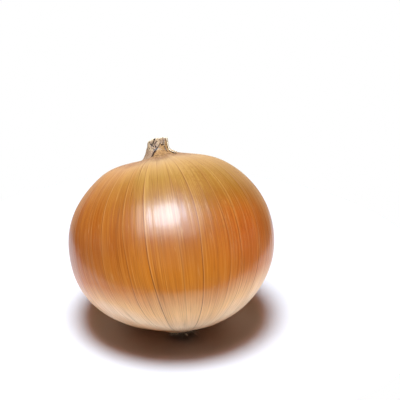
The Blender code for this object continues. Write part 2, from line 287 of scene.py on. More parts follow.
def neck_table():
    """Ways along the neck's surface, with the radius, the height and the vector that points off it."""
    radii = np.linspace(NECK_EDGE, COLLAR_RADIUS + NECK_CURVE, NECK_SAMPLES)
    heights = np.array([shoulder_height(radius) for radius in radii])
    rise = np.linspace(0, NECK_RISE, NECK_SAMPLES)[1:]
    radii = np.append(radii, COLLAR_RADIUS + NECK_CURVE * np.exp(-rise / NECK_CURVE_HEIGHT))
    heights = np.append(heights, heights[-1] + rise)
    ways = np.append(0, np.cumsum(np.hypot(np.diff(radii), np.diff(heights)))) / MM
    off = np.column_stack((np.gradient(heights, ways), -np.gradient(radii, ways)))
    return ways, radii, heights, off / np.linalg.norm(off, axis=1)[:, None]


NECK = neck_table()


def neck_surface(turn, way, off=0.0):
    """Points on the neck, by the angle round it and the way up it, at a distance off its plain surface."""
    ways, radii, heights, outward = NECK
    left = (0.5 - 0.5 * np.cos(turn)) ** 2
    swell = LEFT_SWELL * left * np.exp(-(((way - LEFT_SWELL_WAY) / LEFT_SWELL_REACH) ** 2))
    radius = np.interp(way, ways, radii) + off * np.interp(way, ways, outward[:, 0]) + swell
    height = np.interp(way, ways, heights) + off * np.interp(way, ways, outward[:, 1])
    return np.column_stack((radius * np.cos(turn), radius * np.sin(turn), height))


def along_neck(way):
    """The place along the onion, 1 where the neck begins and on from there, for the patterns of the skin."""
    edge = 1 - 2 * turn_at(NECK_EDGE) / math.pi
    return edge + (1 - edge) * way / NECK_FOOT_WAY


def nearness(turn, way, line, width):
    """1 on a drawn line of the neck, falling to 0 beside it."""
    steps = np.linspace(0, len(line) - 1, 50)
    drawn = [np.interp(steps, range(len(line)), values) for values in zip(*line)]
    line_points = neck_surface(np.radians(drawn[0]), drawn[1])
    points = neck_surface(turn, way)
    nearest = np.full(len(points), np.inf)
    for place in line_points:
        nearest = np.minimum(nearest, np.sum((points - place) ** 2, axis=1))
    return np.exp(-nearest / (width * MM) ** 2)


def folds_relief(turn, way, folds):
    """How deep the drawn folds are at each place, and how strong the shade painted in them is."""
    depth, shade_amount = np.zeros(len(turn)), np.zeros(len(turn))
    for line, width, deep, shade_strength in folds:
        near = nearness(turn, way, line, width)
        depth = np.maximum(depth, deep * MM * near)
        shade_amount = np.maximum(shade_amount, np.minimum(1, 1.7 * shade_strength * near))
    return depth, shade_amount


def crumples(turn, way, size, seed):
    """Small crumples as of dried leaf, longer up the neck than round it."""
    places = neck_surface(turn, way) / (size * MM)
    found = []
    for x, y, z in places:
        broad = noise.noise(Vector((x + seed, y, 0.45 * z)))
        found.append(broad + 0.5 * noise.noise(Vector((2 * x, 2 * y, z + seed))))
    return np.array(found)


def free_edge_lift(turn, way):
    """How far the skin stands off right of its free edge, its shadow, and where the layer beneath shows.

    The edge runs down the front of the neck, and the layer beneath shows on its left.
    """
    degrees = np.degrees(turn)
    edge_degrees, edge_ways = zip(*reversed(FREE_EDGE))
    past = degrees - np.interp(way, edge_ways, edge_degrees)
    faded = smooth_step(0.0, 2.5, way)
    lift = FREE_EDGE_LIFT * smooth_step(-0.6, 0.8, past) * (1 - smooth_step(8, 60, past)) * faded
    near = nearness(turn + math.radians(1.5), way, FREE_EDGE, 0.42)
    under = smooth_step(0.5, -0.5, past) * smooth_step(1.0, 5.0, way) * smooth_step(-220, -150, degrees)
    return lift, np.minimum(1, near * (1.2 + 0.8 * faded)), under


def skin_profile():
    """Rings of the skin as (radius, height, place along the onion, way up the neck, side).

    They run from the floor of the neck's mouth, over the rim and down the side, to the roof of the root's
    recess. side is 1 on the neck's outside, -1 in its mouth and 0 off the neck.
    """
    ways, radii, heights, _ = NECK

    def ring(way, inwards=0.0):
        return np.interp(way, ways, radii) - inwards, np.interp(way, ways, heights)

    profile = [(0, SOCKET_FLOOR, 1.3, 0, 0)]
    for way in np.linspace(NECK_FOOT_WAY - 1, NECK_TOP_WAY, 12):
        profile.append((*ring(way, 0.4 * MM), along_neck(way), way, -1))
    for way in np.linspace(NECK_TOP_WAY, 0, NECK_RINGS):
        profile.append((*ring(way), along_neck(way), way, 1))
    first = math.pi - turn_at(NECK_EDGE)
    last = turn_at(PLATE_RECESS_RADIUS)
    for turn in np.linspace(first, last, DOWN_THE_SIDE)[1:]:
        radius, height = body_point(turn)
        height += flare_at(radius) if height > 0 else -heel_at(radius)
        profile.append((radius, height, 2 * turn / math.pi - 1, 0, 0))
    roof = profile[-1][1] + PLATE_RECESS_DEPTH
    return profile + [(PLATE_RECESS_RADIUS, roof, -1, 0, 0), (0, roof, -1, 0, 0)]


def vein_places():
    """The angle round the axis and the strength of each vein, those of the front first."""
    veins = list(FRONT_VEINS)
    first, last = veins[-1][0], veins[0][0] + 360
    for number in range(1, OTHER_VEIN_COUNT + 1):
        even = first + (last - first) * number / (OTHER_VEIN_COUNT + 1)
        turn = even + OTHER_VEIN_JITTER * math.sin(2.3 * number + 0.5)
        veins.append((turn, 0.7 + 0.3 * math.sin(2.1 * number + 1)))
    return [(math.radians(turn - 90), strength) for turn, strength in veins]


def nearest_vein(around, level):
    """The signed angle to the nearest vein and its strength. Veins wander a little from root to neck."""
    nearest, strengths = np.full(len(around), np.inf), np.zeros(len(around))
    for number, (place, strength) in enumerate(vein_places()):
        wander = 0.6 * np.sin(2.6 * level + 1.7 * number) + 0.25 * np.sin(6.5 * level + 2.9 * number)
        apart = (around - place - np.radians(wander) + math.pi) % (2 * math.pi) - math.pi
        closer = np.abs(apart) < np.abs(nearest)
        nearest, strengths = np.where(closer, apart, nearest), np.where(closer, strength, strengths)
    return nearest, strengths


def keep_veins(mesh, points, radius):
    """Stores how far each point is from its nearest vein, as a direction that turns once from side to side.

    It turns within VEIN_REACH of the vein, and the third number is that reach in mm.
    """
    apart, strengths = nearest_vein(np.arctan2(points[:, 1], points[:, 0]), points[:, 2] / BULB_HALF_HEIGHT)
    reach = np.minimum(VEIN_REACH, VEIN_REACH_TURN * radius)
    turn = math.pi * np.clip(apart * radius / np.maximum(reach, 0.01 * MM), -1, 1)
    keep_values(mesh, "vein", np.column_stack((np.cos(turn), np.sin(turn), reach / MM)))
    keep_values(mesh, "vein_strength", strengths)


def vein_relief(around, level):
    """How far each vein raises the skin, softly; its sharp crest is the material's."""
    apart, strengths = nearest_vein(around, level)
    return strengths * VEIN_SWELL * np.exp(-((apart / VEIN_SWELL_WIDTH) ** 2))


def fibre_relief(around):
    """The finest ridges that the mesh can hold, the skin's fibres."""
    waves = ((61, 0.3, 14), (83, 1.9, 11), (107, 4.0, 10), (139, 2.2, 8))
    return sum(size * 0.001 * MM * np.cos(count * around + shift) for count, shift, size in waves)


def dents(points):
    """Shallow hollows and swellings, as where layers underneath press on the skin."""
    return DENT_DEPTH * np.array([noise.noise(Vector(point) / DENT_SIZE) for point in points])


def grown(points):
    """Moves points of the turned bulb to where an onion that grew has them."""
    x, y, z = points.T
    radius, around, level = np.hypot(x, y), np.arctan2(y, x), z / BULB_HALF_HEIGHT
    away_from_axis = smooth_step(*LOPSIDED_FROM, radius)
    rightness = np.cos(around)
    swelling = LOPSIDED * rightness * np.minimum(1, 1 - level) + OVAL * np.cos(2 * around + 0.9)
    flutes = 0.6 * np.cos(17 * around + 1.4 * np.sin(2 * around))
    flutes += 0.4 * np.cos(11 * around + 1.1 * np.sin(3 * around))
    relief = FLUTE_DEPTH * flutes + vein_relief(around, level) + fibre_relief(around) + dents(points)
    relief *= smooth_step(*RELIEF_FROM, radius) / BULB_RADIUS
    spread = 1 + away_from_axis * swelling + relief
    drop = LEFT_SHOULDER_DROP * away_from_axis * (0.5 - 0.5 * rightness)
    rise = RIGHT_SHOULDER_RISE * smooth_step(*RIGHT_RISE_FROM, radius) * (0.5 + 0.5 * rightness)
    tilt = UNDERSIDE_TILT * away_from_axis * rightness
    left = (0.5 - 0.5 * rightness) ** 2
    full = LEFT_FULLNESS * np.exp(-(((radius - LEFT_FULLNESS_AT[0]) / LEFT_FULLNESS_AT[1]) ** 2))
    hollow = LEFT_HOLLOW * np.exp(-(((radius - LEFT_HOLLOW_AT[0]) / LEFT_HOLLOW_AT[1]) ** 2))
    rise = rise + left * (full - hollow * smooth_step(*LEFT_HOLLOW_FROM, radius))
    height = z * (1 + relief) + level**2 * np.where(level > 0, rise - drop, -tilt)
    return np.column_stack((x * spread, y * spread, height))


# Meshes


def points_of(mesh):
    points = np.empty(len(mesh.vertices) * 3)
    mesh.vertices.foreach_get("co", points)
    return points.reshape(-1, 3)


def put_points(mesh, points):
    mesh.vertices.foreach_set("co", np.asarray(points, float).ravel())
    mesh.update()


def keep_values(mesh, name, values):
    """Stores a number or a vector for each point, for the materials to read."""
    values = np.asarray(values, float)
    kind, field = ("FLOAT_VECTOR", "vector") if values.ndim == 2 else ("FLOAT", "value")
    mesh.attributes.new(name, kind, "POINT").data.foreach_set(field, values.ravel())


def turned(name, profile, steps):
    """A profile of (radius, height) points, which starts and ends on the axis, spun about Z."""
    spun = bmesh.new()
    points = [spun.verts.new((radius, 0, height)) for radius, height in profile]
    edges = [spun.edges.new(pair) for pair in zip(points, points[1:])]
    circle = {"cent": (0, 0, 0), "axis": (0, 0, 1), "angle": 2 * math.pi}
    bmesh.ops.spin(spun, geom=points + edges, steps=steps, use_merge=True, **circle)
    bmesh.ops.remove_doubles(spun, verts=spun.verts, dist=0.001 * MM)
    bmesh.ops.recalc_face_normals(spun, faces=spun.faces)
    mesh = bpy.data.meshes.new(name)
    spun.to_mesh(mesh)
    spun.free()
    return mesh


def keep_grain(mesh, points, along):
    """Stores where each point is round the onion, on a unit circle, and along it, for the skin's patterns."""
    around = np.arctan2(points[:, 1], points[:, 0])
    keep_values(mesh, "grain", np.column_stack((np.cos(around), np.sin(around), along)))


def finish_piece(mesh, node_names, material, placing):
    """Sets a shaped mesh down as a piece of the onion, nowhere below the ground."""
    mesh.transform(placing)
    points = points_of(mesh)
    points[:, 2] = np.maximum(points[:, 2], 0)
    put_points(mesh, points)
    mesh.shade_smooth()
    mesh.set_sharp_from_angle(angle=SHARP_EDGE)
    mesh.materials.append(material)
    piece = bpy.data.objects.new(mesh.name, mesh)
    bpy.data.collections["onion"].objects.link(piece)
    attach(piece, "root")
    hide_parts(*node_names)
    return piece


def rows_of(points, profile):
    """The profile's row that each point of a spun mesh came from."""
    rows = np.array(profile, float)
    radius = np.hypot(points[:, 0], points[:, 1])
    nearest = np.empty(len(points), int)
    for first in range(0, len(points), 4000):
        part = slice(first, first + 4000)
        apart = (radius[part, None] - rows[:, 0]) ** 2 + (points[part, 2, None] - rows[:, 1]) ** 2
        nearest[part] = apart.argmin(axis=1)
    return rows[nearest]


def rim_at(turn, rim):
    """The way up to a torn rim, at each angle round the neck."""
    degrees, ways = zip(*rim)
    return np.interp(np.degrees(turn), degrees + (degrees[0] + 360,), ways + (ways[0],))


def up_to_rim(turn, way, rim, ragged, seed):
    """Draws ways above the neck's foot down to a torn rim, made more ragged."""
    edge = rim_at(turn, rim) + ragged * np.sin(7 * turn + seed) * np.cos(4 * turn + 2 * seed)
    edge += 0.5 * ragged * np.sin(23 * turn + seed)
    share = np.clip((way - NECK_FOOT_WAY) / (NECK_TOP_WAY - NECK_FOOT_WAY), 0, 1)
    return np.where(way > NECK_FOOT_WAY, NECK_FOOT_WAY + share * (edge - NECK_FOOT_WAY), way)


def make_bulb_mesh():
    profile = skin_profile()
    mesh = turned("bulb_skin", [row[:2] for row in profile], AROUND)
    points = points_of(mesh)
    _, _, along, way, side = rows_of(points, profile).T
    around = np.arctan2(points[:, 1], points[:, 0])
    shade_amount, under = np.zeros(len(points)), np.zeros(len(points))
    outside, inside = side > 0, side < 0
    for chosen in (outside, inside):
        way[chosen] = up_to_rim(around[chosen], way[chosen], SKIN_RIM, 0.12, 1.0)
    turn, up = around[outside], way[outside]
    # Painted shade darkens the drawn folds and the side of the free edge.
    depth, shade_amount[outside] = folds_relief(turn, up, SKIN_FOLDS)
    lift, shadow, under[outside] = free_edge_lift(turn, up)
    shade_amount[outside] = np.maximum(shade_amount[outside], shadow)
    rough = 0.10 * MM * crumples(turn, up, 1.3, 5.0) * smooth_step(1.0, 6.0, up)
    points[outside] = neck_surface(turn, up, lift - depth + rough)
    foot_to_top = (NECK_FOOT_WAY - 1, NECK_FOOT_WAY, NECK_TOP_WAY)
    wall = np.interp(way[inside], foot_to_top, (1.2 * MM, 0.5 * MM, SKIN_WALL))
    points[inside] = neck_surface(around[inside], way[inside], -wall)
    keep_grain(mesh, points, along)
    keep_veins(mesh, points, np.hypot(points[:, 0], points[:, 1]))
    keep_values(mesh, "crease", shade_amount)
    keep_values(mesh, "under", under)
    put_points(mesh, grown(points))
    return mesh


def outer_sheath_mesh():
    """The outermost dried sheath, a crumpled tube that shows above the low side of the skin's collar."""
    ways, radii, heights, _ = NECK
    up = np.linspace(SHEATH_FOOT_WAY, NECK_TOP_WAY, SHEATH_RINGS)
    rows = []
    for way, side in [(way, -1) for way in up] + [(way, 1) for way in up[::-1]]:
        off = 0.3 * MM if side > 0 else 0.9 * MM
        rows.append((np.interp(way, ways, radii) - off, np.interp(way, ways, heights), way, side))
    bottom = (0, rows[0][1] - 0.2 * MM, SHEATH_FOOT_WAY, 0)
    floor = (0, rows[0][1], SHEATH_FOOT_WAY, 0)
    profile = [floor] + rows + [bottom]
    mesh = turned("outer_sheath", [row[:2] for row in profile], AROUND * 3 // 4)
    points = points_of(mesh)
    _, _, way, side = rows_of(points, profile).T
    around = np.arctan2(points[:, 1], points[:, 0])
    walls = side != 0
    way[walls] = up_to_rim(around[walls], way[walls], SHEATH_RIM, 0.14, 4.0)
    turn, up = around[walls], way[walls]
    # Painted shade darkens the folds, varies with the small crumples and falls in specks in their hollows
    # below the rim.
    depth, shade_amount = folds_relief(turn, up, SHEATH_FOLDS)
    fine_crumples = crumples(turn, up, 0.42, 3.0)
    shade_amount *= np.clip(0.75 + 0.9 * fine_crumples, 0.25, 1)
    shade_amount = np.maximum(shade_amount, 0.7 * smooth_step(0.30, 0.55, fine_crumples) * smooth_step(15, 14, up))
    past_low_side = np.remainder(turn - LOW_SIDE + math.pi, 2 * math.pi) - math.pi
    low_side = np.exp(-((past_low_side / 0.75) ** 2))
    tucked = (0.16 + 0.34 * (1 - low_side)) * MM
    rough = (0.16 * crumples(turn, up, 1.1, 9.0) - 0.06 * fine_crumples) * MM
    rough *= smooth_step(SHEATH_FOOT_WAY, 10.5, up)
    wall = np.where(side[walls] > 0, 0, SHEATH_WALL)
    points[walls] = neck_surface(turn, up, rough - tucked - depth - wall)
    shade = np.zeros(len(points))
    shade[walls] = shade_amount
    keep_grain(mesh, points, along_neck(way))
    keep_values(mesh, "crease", shade)
    keep_values(mesh, "rim", rim_share(around, way, SHEATH_RIM, walls))
    put_points(mesh, grown(points))
    return mesh


def rim_share(turn, way, rim, walls):
    """1 at a torn rim, 0 from 0.6 mm below it."""
    return np.where(walls, smooth_step(0.6, 0.0, rim_at(turn, rim) - way), 0)


def leaf_mesh(name, rows_up, rows_across, rule):
    """A thin sheet: a grid whose points a rule moves, given shares across and up from 0 to 1."""
    sheet = bmesh.new()
    bmesh.ops.create_grid(sheet, x_segments=rows_across, y_segments=rows_up, size=0.5)
    mesh = bpy.data.meshes.new(name)
    sheet.to_mesh(mesh)
    sheet.free()
    flat = points_of(mesh)
    across, up = flat[:, 0] + 0.5, flat[:, 1] + 0.5
    turn, way, points, shade_amount, rim = rule(across, up)
    keep_values(mesh, "grain", np.column_stack((np.cos(turn), np.sin(turn), along_neck(way))))
    keep_values(mesh, "crease", shade_amount)
    keep_values(mesh, "rim", rim)
    put_points(mesh, points)
    return mesh


def inner_leaf(number):
    """One of the curled leaves inside the neck, wound into each other towards the axis."""
    start = GOLDEN_ANGLE * number + 0.6
    sweep = math.radians(150 + 50 * math.sin(2.4 * number))
    ring = LEAF_RING - LEAF_RING_STEP * number
    top = LEAF_TOP + 0.5 * MM * math.sin(1.7 * number + 0.8) - 0.10 * MM * number
    low = BULB_HALF_HEIGHT + 0.2 * MM

    def rule(across, up):
        turn = start + sweep * across + 0.35 * up
        torn = 0.35 * MM * np.sin(9 * turn + number) * np.cos(4 * turn) - 0.5 * MM * (2 * across - 1) ** 4
        height = low + (top + torn - low) * up
        wave = 0.14 * MM * np.sin(5 * turn + 3 * number) + 0.08 * MM * np.sin(11 * turn + 2 * up + number)
        radius = ring * (1 - 0.22 * across) + wave * (0.5 + up) + 0.25 * MM * up**3
        points = np.column_stack((radius * np.cos(turn), radius * np.sin(turn), height))
        # Painted shade darkens each leaf towards its foot, deep in the neck's mouth. Its torn top is pale.
        return turn, 10 + 4 * up, points, smooth_step(0.75, 0.15, up), smooth_step(0.88, 1.0, up)

    return leaf_mesh(f"inner_leaf_{number + 1}", 22, 56, rule)


def peeled_strip():
    """The strip of skin down the right of the neck that has come away, its foot off the shoulder."""

    def rule(across, up):
        way = 4.6 + 10.0 * up + 0.25 * np.sin(6 * across + 1)
        middle = np.interp(way, (4.6, 7, 9, 11, 15), (-44, -34, -18, 0, 6))
        half = np.interp(way, (4.6, 7, 10, 12, 15), (5, 10, 22, 28, 34))
        turn = np.radians(middle + half * (2 * across - 1))
        edge = np.abs(2 * across - 1) ** 3
        off = np.interp(way, (4.6, 6, 9, 12, 15), (0.55, 0.40, 0.20, 0.10, 0.10)) * MM
        off = off + 0.16 * MM * edge + 0.05 * MM * np.sin(14 * turn + 2 * way)
        way = way + 0.3 * np.sin(17 * turn) * smooth_step(0.85, 1.0, up)
        points = grown(neck_surface(turn, way, off))
        # Its edges and torn top are pale: the torn skin's own colour, and along the lifted edges a painted
        # highlight.
        return turn, way, points, np.zeros(len(up)), np.maximum(edge, smooth_step(0.93, 1.0, up))

    return leaf_mesh("peeled_strip", 70, 26, rule)


def root_plate_mesh():
    """The corky plate that the roots grow from, scarred by those that broke off."""
    low = -BULB_HALF_HEIGHT
    profile = [(0, low + 0.9 * MM), (PLATE_RADIUS, low + 0.9 * MM)]
    for share in np.linspace(1, 0, 26):
        profile.append((PLATE_RADIUS * share, low - PLATE_BULGE * (1 - share**2)))
    mesh = turned("root_plate_disc", profile, 120)
    points = points_of(mesh)
    corky = []
    for point in points:
        specks = noise.noise(Vector(point) / CORK_SPECK)
        corky.append(noise.noise(Vector(point) / CORK_GRAIN) + 0.6 * specks)
    underside = points[:, 2] < low + 0.1 * MM
    points[underside, 2] += CORK_DEPTH * np.array(corky)[underside]
    put_points(mesh, points)
    return mesh


def hair_route(number, placing):
    """The points of one dried root, curling as it goes, shorter near the floor and always clear of it."""
    share = math.sqrt((number + 0.5) / HAIR_COUNT)
    around = GOLDEN_ANGLE * number + 0.25 * math.sin(3.7 * number)
    radial = Vector((math.cos(around), math.sin(around), 0))
    sideways = Vector((-math.sin(around), math.cos(around), 0))
    start = radial * (0.93 * PLATE_RADIUS * share)
    start.z = -BULB_HALF_HEIGHT - PLATE_BULGE * (1 - (0.93 * share) ** 2) + 0.25 * MM
    room = float(smooth_step(0, HAIR_FULL_ROOM, (placing @ start).z))
    length = HAIR_LENGTH * (0.75 + 0.55 * math.sin(1.9 * number + 1)) * (0.25 + 0.75 * room)
    curl, bend = math.sin(2.7 * number), math.cos(4.1 * number)
    points = []
    for step in range(HAIR_POINTS):
        along = step / (HAIR_POINTS - 1)
        outwards = 0.85 * share * along**1.4 + 0.10 * bend * math.sin(7 * along)
        aside = 0.45 * curl * along**1.7 + 0.10 * curl * math.sin(9 * along + number)
        down = along - (0.45 + 0.3 * bend) * along**2.2
        point = placing @ (start + length * (radial * outwards + sideways * aside - Vector((0, 0, down))))
        point.z = max(point.z, HAIR_FLOOR_GAP)
        points.append(point)
    return points


def hairs_mesh(name, routes):
    """Thin tapered tubes along the routes, made a closed mesh."""
    curve = bpy.data.curves.new(name, "CURVE")
    curve.dimensions = "3D"
    curve.bevel_depth, curve.bevel_resolution = HAIR_RADIUS, 1
    curve.use_fill_caps = True
    for number, route in enumerate(routes):
        spline = curve.splines.new("POLY")
        spline.points.add(len(route) - 1)
        for place, (control, point) in enumerate(zip(spline.points, route)):
            control.co = (*point, 1)
            control.radius = (1.15 + 0.45 * math.sin(5.3 * number)) * (1 - 0.6 * place / (len(route) - 1))
    source = bpy.data.objects.new(name, curve)
    bpy.context.scene.collection.objects.link(source)
    mesh = bpy.data.meshes.new_from_object(source.evaluated_get(bpy.context.evaluated_depsgraph_get()))
    bpy.data.objects.remove(source, do_unlink=True)
    welded = bmesh.new()
    welded.from_mesh(mesh)
    bmesh.ops.remove_doubles(welded, verts=welded.verts, dist=0.002 * MM)
    welded.to_mesh(mesh)
    welded.free()
    mesh.name = name
    return mesh


def frayed_skin():
    """The torn edge of the skin round the root plate."""

    def rule(across, up):
        turn = 2 * math.pi * across
        teeth = np.abs(np.sin(11 * turn + 1.5 * np.sin(3 * turn))) * (0.6 + 0.4 * np.sin(5 * turn + 1))
        teeth = teeth + 0.3 * np.abs(np.sin(29 * turn))
        radius = PLATE_RECESS_RADIUS + (0.9 * up**2 - 0.35 * (1 - up) + 0.10 * np.sin(8 * turn)) * MM
        skin = np.array([body_point(turn_at(ring))[1] - heel_at(ring) for ring in radius])
        hang = (0.08 + 0.42 * teeth) * (1 - up) ** 1.5 - 0.10 * up + 0.04
        points = grown(np.column_stack((radius * np.cos(turn), radius * np.sin(turn), skin - hang * MM)))
        # Painted shade darkens the skin as it hangs down under the bulb. Its torn tips are pale.
        shade_amount, pale = 0.85 * smooth_step(0.95, 0.3, up), 0.35 * smooth_step(0.12, 0.0, up)
        return turn, np.zeros(len(up)), points, shade_amount, pale

    return leaf_mesh("frayed_skin", 8, 420, rule)


def thicken(piece, wall):
    solid = piece.modifiers.new("thickness", "SOLIDIFY")
    solid.thickness, solid.offset = wall, 0


def resting_place(points):
    """The matrix that leans the onion over and sets it down, its box centred on the origin."""
    lean = Matrix.Rotation(-LEAN_BACK, 4, "X") @ Matrix.Rotation(-LEAN_LEFT, 4, "Y")
    leaned = points @ np.array(lean.to_3x3()).T
    lows, highs = leaned.min(axis=0), leaned.max(axis=0)
    shift = Vector((-(lows[0] + highs[0]) / 2, -(lows[1] + highs[1]) / 2, -lows[2] - FLAT_DEPTH))
    return Matrix.Translation(shift) @ lean


# Materials


def connect(tree, made, inputs):
    """Gives a node's sockets, by name or in their order, values or other nodes' outputs to read."""
    named = inputs if isinstance(inputs, dict) else dict(enumerate(inputs))
    for name, value in named.items():
        if isinstance(value, bpy.types.NodeSocket):
            tree.links.new(value, made.inputs[name])
        else:
            made.inputs[name].default_value = value


def node(tree, kind, inputs=(), output=0, stops=(), **settings):
    """Adds a node with its settings and inputs, and a ramp's colours as stops. Gives one of its outputs."""
    made = tree.nodes.new("ShaderNode" + kind)
    for name, value in settings.items():
        setattr(made, name, value)
    connect(tree, made, inputs)
    for number, (place, colour) in enumerate(stops):
        elements = made.color_ramp.elements
        element = elements[number] if number < 2 else elements.new(place)
        element.position, element.color = place, colour
    return made.outputs[output]


def new_material(name):
    """A named material, its node tree and its shader."""
    material = bpy.data.materials.new(name)
    material.use_nodes = True
    return material, material.node_tree, material.node_tree.nodes["Principled BSDF"]


def tinted(tree, colour, *layers):
    """Lays tints over a colour one after the other, each a share from 0 to 1 and a hex colour."""
    for share, tint in layers:
        inputs = {0: share, 6: colour, 7: linear(tint)}
        colour = node(tree, "Mix", inputs, output=2, data_type="RGBA")
    return colour


def stretched_noise(tree, grain, cell, span=SKIN_SPAN, detail=3.0, roughness=0.55):
    """Noise drawn out along the onion, in cells of some mm round it and along it."""
    scale = (span[0] / cell[0], span[0] / cell[0], span[1] / cell[1])
    placed = node(tree, "Mapping", {"Vector": grain, "Scale": scale})
    inputs = {"Vector": placed, "Scale": 1.0, "Detail": detail, "Roughness": roughness}
    return node(tree, "TexNoise", inputs)


def thin_lines(tree, grain, cell, width, strength):
    """Fine lines from root to neck, unevenly spaced: where stretched noise passes its middle value."""
    level = stretched_noise(tree, grain, cell, detail=1.0)
    level = node(tree, "Math", [level, 0.5], operation="SUBTRACT")
    level = node(tree, "Math", [level], operation="ABSOLUTE")
    return node(tree, "MapRange", [level, width, 0.0, 0, strength])


def patch(tree, grain, degrees, level, rim, core, strength):
    """A round patch: full within core of its middle, none from rim. Degrees are to the right of the front."""
    turn = math.radians(degrees - 90)
    middle = (math.cos(turn), math.sin(turn), level)
    away = node(tree, "VectorMath", [grain, middle], "Value", operation="DISTANCE")
    return node(tree, "MapRange", [away, rim, core, 0, strength])


def beside_vein(tree, place, width, strength):
    """A line that follows every vein at a place to its right in mm, falling to nothing at a width from it."""
    vein = node(tree, "Attribute", output="Vector", attribute_name="vein")
    cosine, sine, reach = [node(tree, "SeparateXYZ", [vein], axis) for axis in "XYZ"]
    turn = node(tree, "Math", [sine, cosine], operation="ARCTAN2")
    share = node(tree, "Math", [turn, math.pi], operation="DIVIDE")
    distance = node(tree, "Math", [share, reach], operation="MULTIPLY")
    apart = node(tree, "Math", [distance, place], operation="SUBTRACT")
    apart = node(tree, "Math", [apart], operation="ABSOLUTE")
    line = node(tree, "MapRange", [apart, width, 0.0])
    return node(tree, "Math", [line, strength], operation="MULTIPLY")


def skin_tones_and_light(tree, grain, level, broad):
    """The skin's colour by its place from root to neck, with the painted light of its ramp, and that place,
    made uneven.

    It is paler on the left shoulder, and low on both flanks, where the paleness is painted reflection of the
    floor.
    """
    across = node(tree, "SeparateXYZ", [grain], "X")
    uneven = node(tree, "MapRange", [broad, 0, 1, -0.10, 0.10])
    along = node(tree, "Math", [level, uneven], operation="ADD")
    leftwards = node(tree, "MapRange", [across, 0.3, -0.5])
    upwards = node(tree, "MapRange", [level, 0.4, 0.7, 0, 0.07])
    shoulder = node(tree, "Math", [leftwards, upwards], operation="MULTIPLY")
    along = node(tree, "Math", [along, shoulder], operation="ADD")
    # Painted reflection of the floor makes both flanks paler low down.
    low = node(tree, "MapRange", [level, 0.0, -0.35])
    left_flank_reflection = node(tree, "MapRange", [across, -0.15, -0.8, 0, 0.21])
    right_flank_reflection = node(tree, "MapRange", [across, 0.45, 0.9, 0, 0.16])
    flank_reflection = node(tree, "Math", [left_flank_reflection, right_flank_reflection], operation="ADD")
    flank_reflection = node(tree, "Math", [low, flank_reflection], operation="MULTIPLY")
    along = node(tree, "Math", [along, flank_reflection], operation="SUBTRACT")
    along = node(tree, "MapRange", [along, -1, 1.2])
    stops = [(place, linear(tone)) for place, tone in SKIN_TONES_AND_LIGHT]
    return node(tree, "ValToRGB", {"Fac": along}, stops=stops), along


